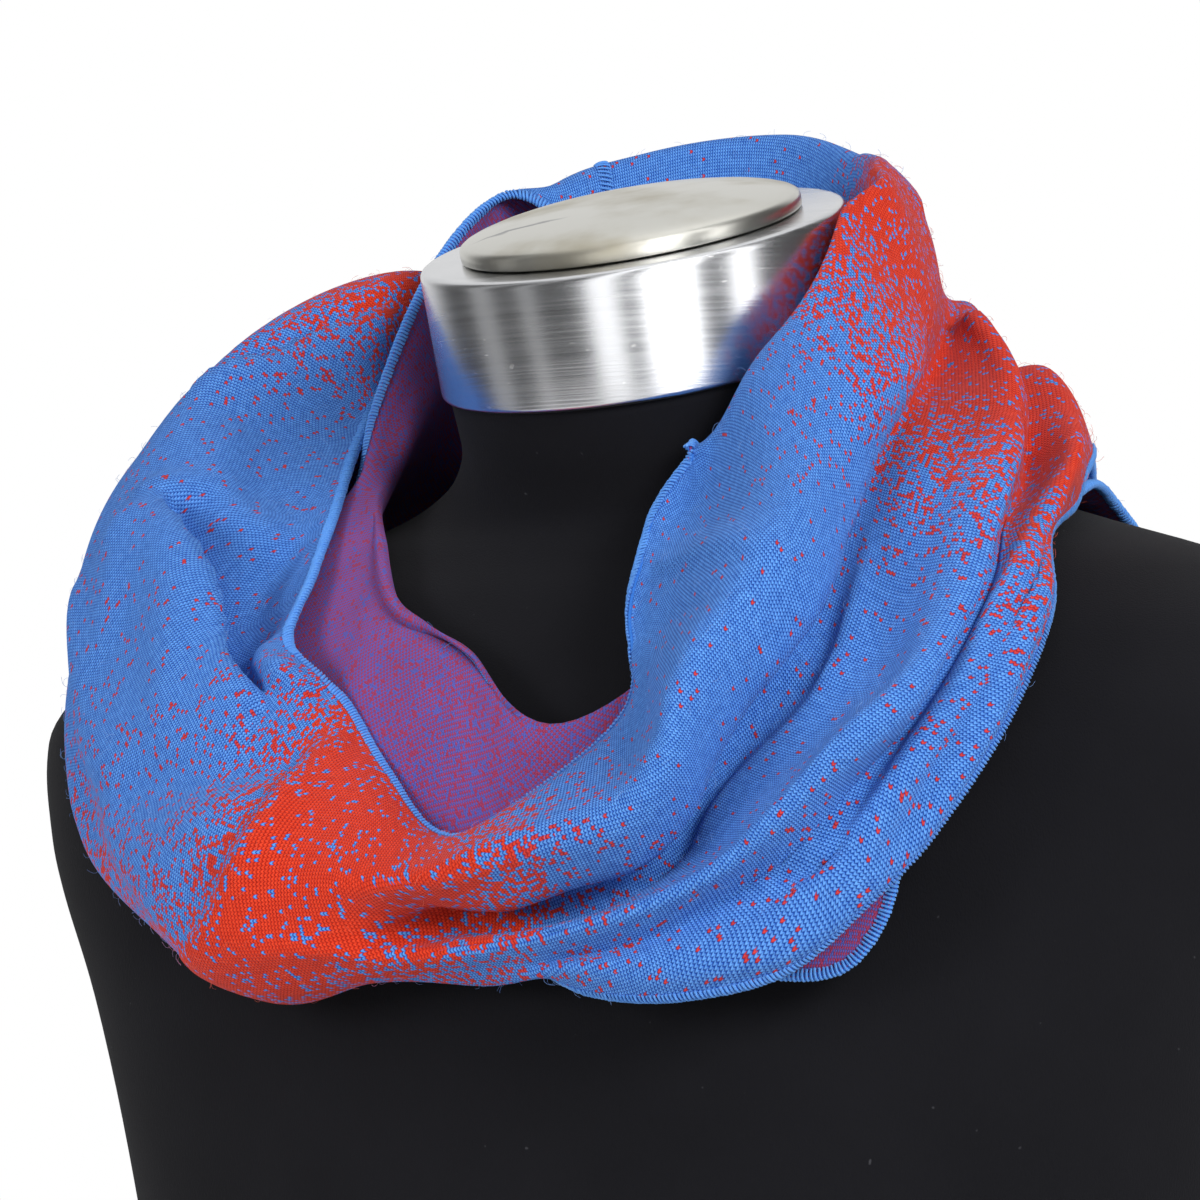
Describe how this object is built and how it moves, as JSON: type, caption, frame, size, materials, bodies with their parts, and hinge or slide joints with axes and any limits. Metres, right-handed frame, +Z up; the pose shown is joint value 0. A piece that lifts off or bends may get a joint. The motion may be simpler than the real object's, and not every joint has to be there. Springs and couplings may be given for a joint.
{
  "type": "infinity scarf on a display bust form",
  "caption": "Fine jersey loop scarf with a blue and orange speckled knit, wound twice round the neck of a limbless black display bust with a brushed metal neck cap.",
  "frame": {"origin": "centre of the flat base of the bust", "axes": "+Z up, the bust faces -Y, +X towards the bust's own left shoulder"},
  "size_m": [0.386, 0.2519, 0.4581],
  "materials": {
    "form_body": "matt black jersey cover",
    "neck_cap": "brushed round the side",
    "cap_plate": "satin, turned",
    "upper_back": "fine two-colour jacquard knit",
    "right_front": "fine two-colour jacquard knit",
    "front": "fine two-colour jacquard knit",
    "left_shoulder": "fine two-colour jacquard knit",
    "lower_back": "fine two-colour jacquard knit",
    "inner_right": "fine two-colour jacquard knit",
    "inner_front": "fine two-colour jacquard knit",
    "inner_left": "fine two-colour jacquard knit"
  },
  "bodies": {
    "root": {"form_body": "form_body", "neck_cap": "neck_cap", "cap_plate": "cap_plate", "upper_back": "upper_back", "right_front": "right_front", "front": "front", "left_shoulder": "left_shoulder", "lower_back": "lower_back", "inner_right": "inner_right", "inner_front": "inner_front", "inner_left": "inner_left"}
  },
  "joints": []
}
